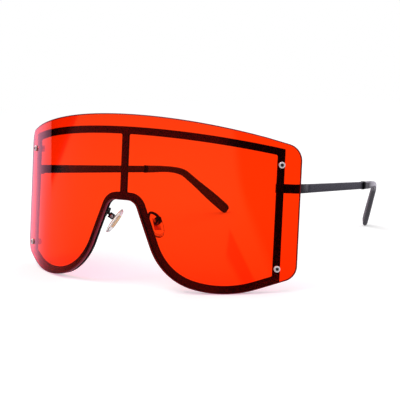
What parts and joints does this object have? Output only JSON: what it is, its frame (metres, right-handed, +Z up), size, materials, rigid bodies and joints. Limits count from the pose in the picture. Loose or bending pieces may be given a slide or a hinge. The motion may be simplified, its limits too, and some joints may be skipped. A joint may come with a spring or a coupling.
{
  "type": "shield sunglasses",
  "caption": "Oversized wrap shield sunglasses: one tinted lens screwed to a flat-bar metal front, adjustable nose pads and folding temples.",
  "frame": {"origin": "middle of the footprint, on the surface that the glasses stand on", "axes": "+X towards the wearer's left, +Y from the lens back to the temple tips, +Z up; the front leans back as it stands on the two lens lobes and the two temple tips"},
  "size_m": [0.1452, 0.1594, 0.0755],
  "materials": {
    "lens": "clear red-orange tint, polished, seen through",
    "front_metal": "black, semi-gloss",
    "temple_metal": "gunmetal grey, satin",
    "tip_plastic": "black, polished",
    "screw_steel": "bright",
    "insert_gold": "gold plated, satin",
    "pad_clear": "clear silicone, smooth",
    "bushing_nylon": "clear nylon"
  },
  "bodies": {
    "front": {"lens": "lens", "top_bar": "front_metal", "centre_bar": "front_metal", "side_bar_left": "front_metal", "side_bar_right": "front_metal", "lower_rim": "front_metal", "lens_screw_upper_left": "screw_steel", "lens_screw_upper_right": "screw_steel", "lens_screw_lower_left": "screw_steel", "lens_screw_lower_right": "screw_steel", "lens_bushing_upper_left": "bushing_nylon", "lens_bushing_upper_right": "bushing_nylon", "lens_bushing_lower_left": "bushing_nylon", "lens_bushing_lower_right": "bushing_nylon", "lens_nut_upper_left": "screw_steel", "lens_nut_upper_right": "screw_steel", "lens_nut_lower_left": "screw_steel", "lens_nut_lower_right": "screw_steel", "end_piece_left": "front_metal", "end_piece_right": "front_metal", "hinge_screw_left": "screw_steel", "hinge_screw_right": "screw_steel", "pad_arm_left": "front_metal", "pad_arm_right": "front_metal", "pad_screw_left": "screw_steel", "pad_screw_right": "screw_steel"},
    "temple_left": {"temple_arm_left": "temple_metal", "temple_tip_left": "tip_plastic"},
    "temple_right": {"temple_arm_right": "temple_metal", "temple_tip_right": "tip_plastic"},
    "pad_left": {"nose_pad_left": "pad_clear", "pad_insert_left": "insert_gold"},
    "pad_right": {"nose_pad_right": "pad_clear", "pad_insert_right": "insert_gold"}
  },
  "joints": [
    {"name": "temple_left_fold", "type": "hinge", "parent": "front", "child": "temple_left", "pos_m": [0.06655, -0.0349, 0.04093], "axis": [-0.0008, 0.1569, 0.9876], "range_deg": [0, 84]},
    {"name": "temple_right_fold", "type": "hinge", "parent": "front", "child": "temple_right", "pos_m": [-0.06655, -0.0349, 0.04093], "axis": [-0.0008, -0.1569, -0.9876], "range_deg": [0, 76]},
    {"name": "pad_left_rock", "type": "hinge", "parent": "front", "child": "pad_left", "pos_m": [0.01236, -0.0676, 0.02846], "axis": [-0.4585, -0.8756, 0.1517], "range_deg": [-8, 8]},
    {"name": "pad_right_rock", "type": "hinge", "parent": "front", "child": "pad_right", "pos_m": [-0.01236, -0.0676, 0.02846], "axis": [-0.4585, 0.8756, -0.1517], "range_deg": [-8, 8]}
  ]
}
